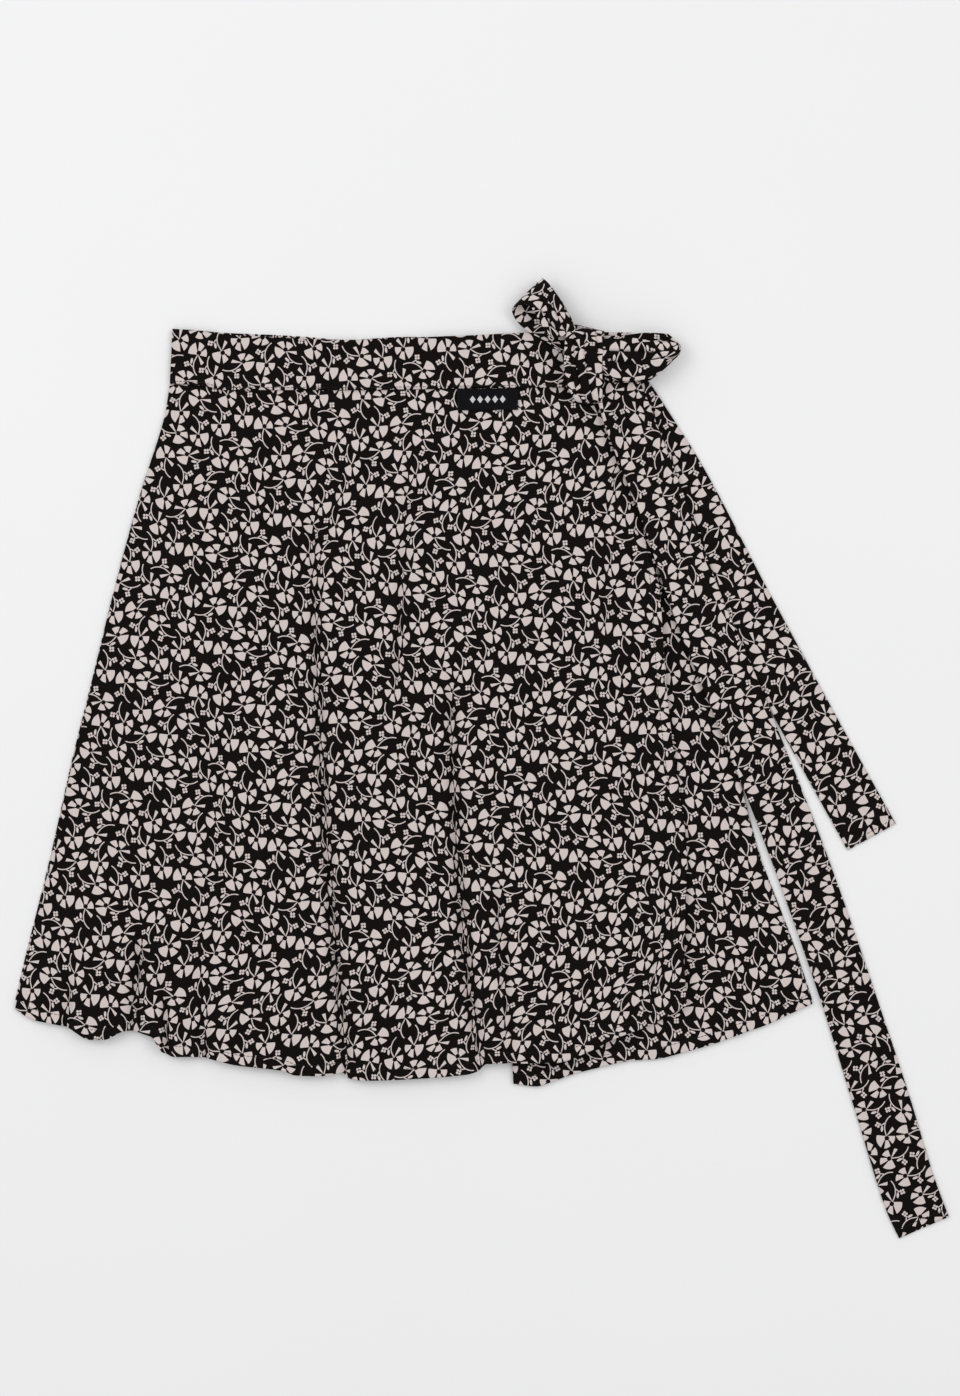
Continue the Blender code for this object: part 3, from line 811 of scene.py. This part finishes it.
class Weave:
    """One material's nodes."""

    def __init__(self, name):
        self.finish = bpy.data.materials.new(name)
        self.finish.use_nodes = True
        self.tree = self.finish.node_tree
        self.shader = self.tree.nodes["Principled BSDF"]

    def node(self, kind, settings=None, values=None):
        made = self.tree.nodes.new(kind)
        for key, value in (settings or {}).items():
            if key == "stops":
                self.set_stops(made.color_ramp, value)
            elif key == "ramp":
                made.color_ramp.interpolation = value
            else:
                setattr(made, key, value)
        for key, value in (values or {}).items():
            self.feed(made.inputs[key], value)
        return made

    def feed(self, socket, value):
        if isinstance(value, Amount):
            self.tree.links.new(value.socket, socket)
        elif isinstance(value, bpy.types.NodeSocket):
            self.tree.links.new(value, socket)
        else:
            socket.default_value = value

    @staticmethod
    def set_stops(ramp, stops):
        while len(ramp.elements) < len(stops):
            ramp.elements.new(1.0)
        for element, (position, colour) in zip(ramp.elements, stops):
            element.position = position
            element.color = colour

    def amount(self, node, output=0):
        return Amount(self, node.outputs[output])

    def mix(self, share, first, second):
        """A colour between two colours."""
        made = self.node("ShaderNodeMix", {"data_type": "RGBA"}, {0: share, 6: first, 7: second})
        return made.outputs[2]

    def cut(self):
        """The two coordinates of the flat cut, in metres."""
        place = self.node("ShaderNodeUVMap", {"uv_map": "cut"})
        split = self.node("ShaderNodeSeparateXYZ", values={0: place.outputs[0]})
        return place.outputs[0], self.amount(split, 0), self.amount(split, 1)

    def bump(self, height, strength, distance):
        made = self.node(
            "ShaderNodeBump", values={"Height": height, "Strength": strength, "Distance": distance})
        self.tree.links.new(made.outputs[0], self.shader.inputs["Normal"])

    def set(self, **values):
        """Values of the shader's own sockets, with _ for the spaces in their names."""
        for key, value in values.items():
            self.feed(self.shader.inputs[key.replace("_", " ")], value)


def sprig_discs():
    """A sprig as discs of x, y and radius from its middle, in cells, for keeping sprigs apart."""
    discs = [*FLOWER_DISCS_MM, (*BUD_MM, BUD_DISC_MM), (*FLORET_MM, FLORET_DISC_MM)]
    for share in STEM_DISC_SHARES:
        turn = STEM_TURN * share
        x = STEM_BEND_MM * (1 - math.cos(turn))
        y = STEM_STRAIGHT_MM + STEM_BEND_MM * math.sin(turn)
        discs.append((x, y, STEM_DISC_MM))
    discs = np.array(discs)
    discs[:, 0] -= FLOWER_FROM_MIDDLE_MM[0]
    discs[:, 1] -= FLOWER_FROM_MIDDLE_MM[1]
    return discs / CELL_MM


def place_sprig(discs, sprig, middle):
    """A sprig's discs where it stands in the block."""
    nudge_x, nudge_y, turn, flip = sprig
    angle = turn * 2 * math.pi
    x = discs[:, 0] * (1 - 2 * flip)
    y = discs[:, 1]
    return np.stack((
        x * math.cos(angle) - y * math.sin(angle) + nudge_x + middle[0],
        x * math.sin(angle) + y * math.cos(angle) + nudge_y + middle[1],
        discs[:, 2]), axis=-1)


def crowding(ours, others):
    """How much a sprig crowds the others, across the block's repeat too."""
    apart = (ours[:, None, :2] - others[None, :, :2] + BLOCK / 2) % BLOCK - BLOCK / 2
    clear = np.hypot(apart[..., 0], apart[..., 1]) - ours[:, None, 2] - others[None, :, 2]
    return (np.maximum(SPRIG_CLEAR_MM / CELL_MM - clear, 0) ** 2).sum()


def arrange_sprigs():
    """Turn, flip and nudge the sprig of each cell in the block, in a set number of rounds, keeping each
    change that crowds the others less.
    """
    chance = random.Random(PRINT_SEED)
    discs = sprig_discs()
    middles = [
        (column + 0.5 + STAGGER * (row % 2), row + 0.5) for row in range(BLOCK) for column in range(BLOCK)]
    reach = NUDGE_MM / CELL_MM

    def anew():
        nudge = (chance.uniform(-reach, reach), chance.uniform(-reach, reach))
        return (*nudge, chance.random(), float(chance.random() < 0.5))

    def stir(sprig, step):
        nudge_x = min(max(sprig[0] + chance.uniform(-step, step) * reach, -reach), reach)
        nudge_y = min(max(sprig[1] + chance.uniform(-step, step) * reach, -reach), reach)
        return (nudge_x, nudge_y, (sprig[2] + chance.uniform(-step, step) * 0.25) % 1.0, sprig[3])

    sprigs = [anew() for _ in middles]
    for sweep in range(PRINT_ROUNDS):
        step = 0.5 * (1 - sweep / PRINT_ROUNDS) + 0.05
        for index, middle in enumerate(middles):
            others = np.concatenate([
                place_sprig(discs, sprig, middles[other])
                for other, sprig in enumerate(sprigs) if other != index])
            best = crowding(place_sprig(discs, sprigs[index], middle), others)
            for count in range(PRINT_TRIALS):
                trial = anew() if count % 2 else stir(sprigs[index], step)
                found = crowding(place_sprig(discs, trial, middle), others)
                if found < best:
                    best = found
                    sprigs[index] = trial
    return sprigs


def petal_stops():
    """The petals' outline as a reach for each direction of the fan, in tens of mm."""
    stops = [(0.0, (0, 0, 0, 1))]
    for petal in PETALS:
        start = petal.start / 360
        end = petal.end / 360
        first = petal.start_reach_mm / 10
        last = petal.end_reach_mm / 10
        for position, value in (
                (start, 0.0), (start + PETAL_CORNER, first), ((start + end) / 2, (first + last) / 2),
                (end - PETAL_CORNER, last), (end, 0.0)):
            stops.append((position, (value, value, value, 1)))
    return stops


def sprig(weave, x, y):
    """How much a point of a sprig's own plane, in millimetres from its flower, is printed."""
    from_eye = (x * x + y * y).of("SQRT")
    fan_y = y - PETAL_FAN_MM
    turn = weave.amount(weave.node(
        "ShaderNodeMath", {"operation": "ARCTAN2"}, {0: x * -1.0, 1: fan_y * -1.0}))
    outline = weave.node(
        "ShaderNodeValToRGB", {"ramp": "LINEAR", "stops": petal_stops()},
        {0: turn * (0.5 / math.pi) + 0.5})
    from_fan = (x * x + fan_y * fan_y).of("SQRT")
    petals = (weave.amount(outline) * 10.0 - from_fan).lower(from_eye - EYE_MM)

    past_straight = (y - STEM_STRAIGHT_MM).higher(0.0)
    from_bend = ((x - STEM_BEND_MM) * (x - STEM_BEND_MM) + past_straight * past_straight).of("SQRT")
    stem = STEM_HALF_WIDTH_MM - abs(from_bend - STEM_BEND_MM)
    before_tip = (STEM_BEND_MM - x) * math.sin(STEM_TURN) - past_straight * math.cos(STEM_TURN)
    stem = stem.lower(y - STEM_START_MM).lower(before_tip)

    run_x = BRANCH_TO_MM[0] - BRANCH_FROM_MM[0]
    run_y = BRANCH_TO_MM[1] - BRANCH_FROM_MM[1]
    run = math.hypot(run_x, run_y)
    branch_x = x - BRANCH_FROM_MM[0]
    branch_y = y - BRANCH_FROM_MM[1]
    beside = abs(branch_x * (run_y / run) - branch_y * (run_x / run))
    ahead = branch_x * (run_x / run) + branch_y * (run_y / run)
    branch = (STEM_HALF_WIDTH_MM - beside).lower(run / 2 - abs(ahead - run / 2))

    bud_x = x - BUD_MM[0]
    bud_y = y - BUD_MM[1]
    cosine = math.cos(BUD_TURN)
    sine = math.sin(BUD_TURN)
    along = bud_x * (cosine / BUD_HALF_LENGTH_MM) + bud_y * (sine / BUD_HALF_LENGTH_MM)
    aside = bud_y * (cosine / BUD_HALF_WIDTH_MM) - bud_x * (sine / BUD_HALF_WIDTH_MM)
    bud = 1.0 - (along * along + aside * aside)

    floret_x = abs(x - FLORET_MM[0])
    floret_y = abs(y - FLORET_MM[1])
    lobe_out = floret_x.higher(floret_y) - FLORET_LOBE_FROM_MIDDLE_MM
    lobe_aside = floret_x.lower(floret_y)
    floret = FLORET_LOBE_MM - (lobe_out * lobe_out + lobe_aside * lobe_aside).of("SQRT")
    return petals.higher(stem).higher(branch).higher(bud).higher(floret)


def flower_print(weave, x, y):
    """The share of petal colour at each place of the flat cut."""
    across = math.cos(PRINT_TURN) / (CELL_MM * MM)
    askew = math.sin(PRINT_TURN) / (CELL_MM * MM)
    cells_x = x * across + y * askew
    cells_y = y * across - x * askew
    first_row = (cells_y - 0.5).of("FLOOR")
    count = BLOCK * BLOCK
    reach = NUDGE_MM / CELL_MM
    stops = []
    for index, (nudge_x, nudge_y, turn, flip) in enumerate(arrange_sprigs()):
        stops.append((index / count, (nudge_x / reach / 2 + 0.5, nudge_y / reach / 2 + 0.5, turn, flip)))
    printed = None
    for over, up in ((0, 0), (1, 0), (0, 1), (1, 1)):
        row = first_row + float(up)
        shift = row.rest(2.0) * STAGGER
        column = (cells_x - shift - 0.5).of("FLOOR") + float(over)
        index = column.rest(float(BLOCK)) + row.rest(float(BLOCK)) * float(BLOCK)
        chart = weave.node(
            "ShaderNodeValToRGB", {"ramp": "CONSTANT", "stops": stops}, {0: (index + 0.5) * (1 / count)})
        split = weave.node("ShaderNodeSeparateColor", values={0: chart.outputs[0]})
        nudge_x, nudge_y, turn = (weave.amount(split, channel) for channel in range(3))
        flip = 1.0 - weave.amount(chart, 1) * 2.0
        from_x = (cells_x - shift - column - 0.5 - (nudge_x - 0.5) * (2 * reach)) * CELL_MM
        from_y = (cells_y - row - 0.5 - (nudge_y - 0.5) * (2 * reach)) * CELL_MM
        angle = turn * (2 * math.pi)
        cosine = angle.of("COSINE")
        sine = angle.of("SINE")
        own_x = (from_x * cosine + from_y * sine) * flip + FLOWER_FROM_MIDDLE_MM[0]
        own_y = from_y * cosine - from_x * sine + FLOWER_FROM_MIDDLE_MM[1]
        found = sprig(weave, own_x, own_y)
        printed = found if printed is None else printed.higher(found)
    return printed.edge(PRINT_EDGE_MM)


def crepe(name):
    """Smooth printed crepe: near-black, with pale sprigs, a fine crinkled weave and a faint sheen."""
    weave = Weave(name)
    place, x, y = weave.cut()
    printed = flower_print(weave, x, y)
    cloud = weave.amount(weave.node(
        "ShaderNodeTexNoise", values={"Vector": place, "Scale": 9.0, "Detail": 2.0}))
    thread = weave.amount(weave.node(
        "ShaderNodeTexNoise", values={"Vector": place, "Scale": 1500.0, "Detail": 2.0, "Roughness": 0.6}))
    petal = weave.mix(thread, PETAL_DIM, PETAL_PALE)
    petal = weave.mix(cloud * 0.3, petal, PETAL_CLOUD)
    ground = weave.mix(thread, GROUND_DARK, GROUND_PALE)
    weave.set(Base_Color=weave.mix(printed, ground, petal), Roughness=0.72 + printed * 0.1)
    weave.set(Specular_IOR_Level=0.05, Sheen_Weight=0.02, Sheen_Roughness=0.5)
    weave.bump(thread, 0.35, 0.00012)
    return weave.finish


def thread_finish(name):
    """Twisted sewing thread."""
    weave = Weave(name)
    spot = weave.node("ShaderNodeTexCoord")
    twist = weave.amount(weave.node(
        "ShaderNodeTexNoise", values={"Vector": spot.outputs["Object"], "Scale": 2500.0, "Detail": 1.0}))
    weave.set(Base_Color=weave.mix(twist, THREAD_DARK, THREAD_PALE), Roughness=0.6)
    weave.set(Specular_IOR_Level=0.2)
    weave.bump(twist, 0.4, 0.0001)
    return weave.finish


def label_finish(name):
    """Black damask label with a plain row of small diamonds."""
    weave = Weave(name)
    place, x, y = weave.cut()
    across = (x * (2 * math.pi / LABEL_RIB_ACROSS)).of("SINE")
    along = (y * (2 * math.pi / LABEL_RIB_ALONG)).of("SINE")
    ribs = across * along * 0.5 + 0.5
    middle_x = abs(x - LABEL_WIDTH / 2)
    middle_y = abs(y - LABEL_HEIGHT / 2)
    from_mark = (middle_x + LABEL_MARK_PITCH / 2).rest(LABEL_MARK_PITCH) - LABEL_MARK_PITCH / 2
    marks = LABEL_MARK_HALF - (abs(from_mark) * LABEL_MARK_SLOPE + middle_y)
    row = LABEL_MARK_PITCH * (LABEL_MARKS / 2) - middle_x
    drawn = marks.lower(row).edge(0.0002)
    black = weave.mix(ribs, LABEL_BLACK, LABEL_SHEEN)
    white = weave.mix(ribs, MARK_DIM, MARK_PALE)
    weave.set(Base_Color=weave.mix(drawn, black, white), Roughness=0.65, Specular_IOR_Level=0.06)
    weave.bump(ribs, 0.5, 0.00015)
    return weave.finish


def paper_floor():
    """A plain pale floor."""
    weave = Weave("floor_paper")
    spot = weave.node("ShaderNodeTexCoord")
    cloud = weave.amount(weave.node(
        "ShaderNodeTexNoise", values={"Vector": spot.outputs["Object"], "Scale": 3.0, "Detail": 3.0}))
    weave.set(Base_Color=weave.mix(cloud, PAPER_DIM, PAPER_PALE), Roughness=0.9)
    weave.set(Specular_IOR_Level=0.1)
    return weave.finish


# ======== Making ========

printed_crepe = crepe("printed_crepe")
black_thread = thread_finish("black_thread")
damask = label_finish("damask")

Piece = namedtuple("Piece", "name node shape across down thickness held rests_on")
PIECES = [
    Piece("back_panel", "back_panel", back_shape, steps(60), steps(60), PANEL_CLOTH, "laid", ()),
    Piece("under_wrap", "under_wrap_panel", under_shape, steps(110), steps_to_hem(110),
          PANEL_CLOTH, "laid", ("back_panel",)),
    Piece("outer_wrap", "outer_wrap_panel", outer_shape, steps(310), steps_to_hem(116),
          PANEL_CLOTH, "laid", ("back_panel", "under_wrap")),
    Piece("waistband_back", "waistband_back", band_back_shape, steps(90), steps(12),
          PANEL_CLOTH, "laid", ()),
    Piece("waistband_under", "waistband_under", band_under_shape, steps(40), steps(12),
          PANEL_CLOTH, "laid", ("waistband_back",)),
    Piece("waistband_front", "waistband_front", band_front_shape, steps(140), steps(16),
          BAND_CLOTH, "laid", ("waistband_back", "waistband_under")),
    Piece("label", "label", label_shape, steps(40), steps(14), LABEL_CLOTH, "laid", ("outer_wrap",)),
    Piece("tie_short", "tie_short", short_tie_shape, steps(24), steps(160),
          TIE_CLOTH, "laid", ("under_wrap",)),
    Piece("tie_long", "tie_long", long_tie_shape, steps(24), steps(280),
          TIE_CLOTH, "laid", ("tie_short", "outer_wrap")),
    Piece("bow_loop_upper", "bow_loop_upper", partial(ribbon_shape, UPPER_RIBBON), steps(44), steps(110),
          TIE_CLOTH, "folded", ("waistband_front",)),
    Piece("bow_loop_side", "bow_loop_side", partial(ribbon_shape, SIDE_RIBBON), steps(44), steps(110),
          TIE_CLOTH, "folded", ("tie_long",)),
    Piece("bow_knot", "bow_knot", partial(ribbon_shape, KNOT_RIBBON), steps(64), steps(100),
          TIE_CLOTH, "folded", ("bow_loop_upper", "bow_loop_side")),
]
made = {}
for row in PIECES:
    slot, finish = ("label", damask) if row.node == "label" else ("print", printed_crepe)
    piece, flat = cloth(f"{row.name}_cloth", row.shape, row.across, row.down, row.thickness, finish)
    width, length, area = cut_size(flat)
    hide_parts(row.node)
    [made[name] for name in row.rests_on]
    made[row.name] = piece

hem_stitch = at(1 - HEM_TURN / SIDE_LENGTH)
for name, shape, count in (
        ("outer", outer_shape, 700), ("under", under_shape, 400), ("back", back_shape, 200)):
    stitches(f"{name}_hem_stitches", stitch_line(shape, steps(count), hem_stitch, PANEL_CLOTH))
stitches("free_edge_stitches", stitch_line(outer_shape, at(FREE_EDGE_STITCH), steps(500), PANEL_CLOTH))
stitches("waist_stitches", stitch_line(band_front_shape, steps(300), at(WAIST_STITCH), BAND_CLOTH))
for end, share in (("left", LABEL_STITCH), ("right", 1 - LABEL_STITCH)):
    line = stitch_line(label_shape, at(share), steps(14), LABEL_CLOTH)
    stitches(f"label_{end}_stitches", line, length=0.0016, gap=0.0007)
for name, shape in (("tie_short", short_tie_shape), ("tie_long", long_tie_shape)):
    stitches(f"{name}_end_stitches", stitch_line(shape, steps(24), at(TIE_END_STITCH), TIE_CLOTH))

# ======== Floor, light and camera ========

FLOOR_HALF = 6.0
FLOOR_Z = -0.0002
SKY_STRENGTH = 0.74
WINDOW_SIZE = 1.4

floor_mesh = bpy.data.meshes.new("floor")
floor_corners = [(x * FLOOR_HALF, y * FLOOR_HALF, FLOOR_Z) for x, y in ((-1, -1), (1, -1), (1, 1), (-1, 1))]
floor_mesh.from_pydata(floor_corners, [], [(0, 1, 2, 3)])
floor_mesh.materials.append(paper_floor())
floor = bpy.data.objects.new("floor", floor_mesh)
bpy.context.scene.collection.objects.link(floor)

world = bpy.data.worlds.new("studio")
world.use_nodes = True
sky = world.node_tree.nodes["Background"]
sky.inputs["Color"].default_value = (1.0, 1.0, 1.0, 1)
sky.inputs["Strength"].default_value = SKY_STRENGTH
bpy.context.scene.world = world


def soft_light(name, place, power):
    """A square window that faces the middle of the skirt."""
    lamp = bpy.data.lights.new(name, "AREA")
    lamp.shape = "SQUARE"
    lamp.size = WINDOW_SIZE
    lamp.energy = power
    holder = bpy.data.objects.new(name, lamp)
    bpy.context.scene.collection.objects.link(holder)
    holder.location = place
    aim = -np.array(place)
    holder.rotation_euler = (
        math.atan2(math.hypot(aim[0], aim[1]), -aim[2]), 0.0, math.atan2(aim[1], aim[0]) - math.pi / 2)


soft_light("window_left", (-1.6, 0.9, 1.9), 15)
soft_light("window_right", (1.5, 0.6, 2.1), 11)

VIEW_HEIGHT = 1.082       # height of the field of view at the surface
VIEW_CENTRE = (-0.0019, 0.0457)
CAMERA_HEIGHT = 2.4
SENSOR = 36.0
lens = bpy.data.cameras.new("overhead")
lens.sensor_width = SENSOR
lens.lens = SENSOR * CAMERA_HEIGHT / VIEW_HEIGHT
camera = bpy.data.objects.new("overhead", lens)
bpy.context.scene.collection.objects.link(camera)
camera.location = (VIEW_CENTRE[0] + TO_FRAME[0], VIEW_CENTRE[1] + TO_FRAME[1], CAMERA_HEIGHT)
bpy.context.scene.camera = camera
bpy.context.scene.view_settings.view_transform = "Standard"
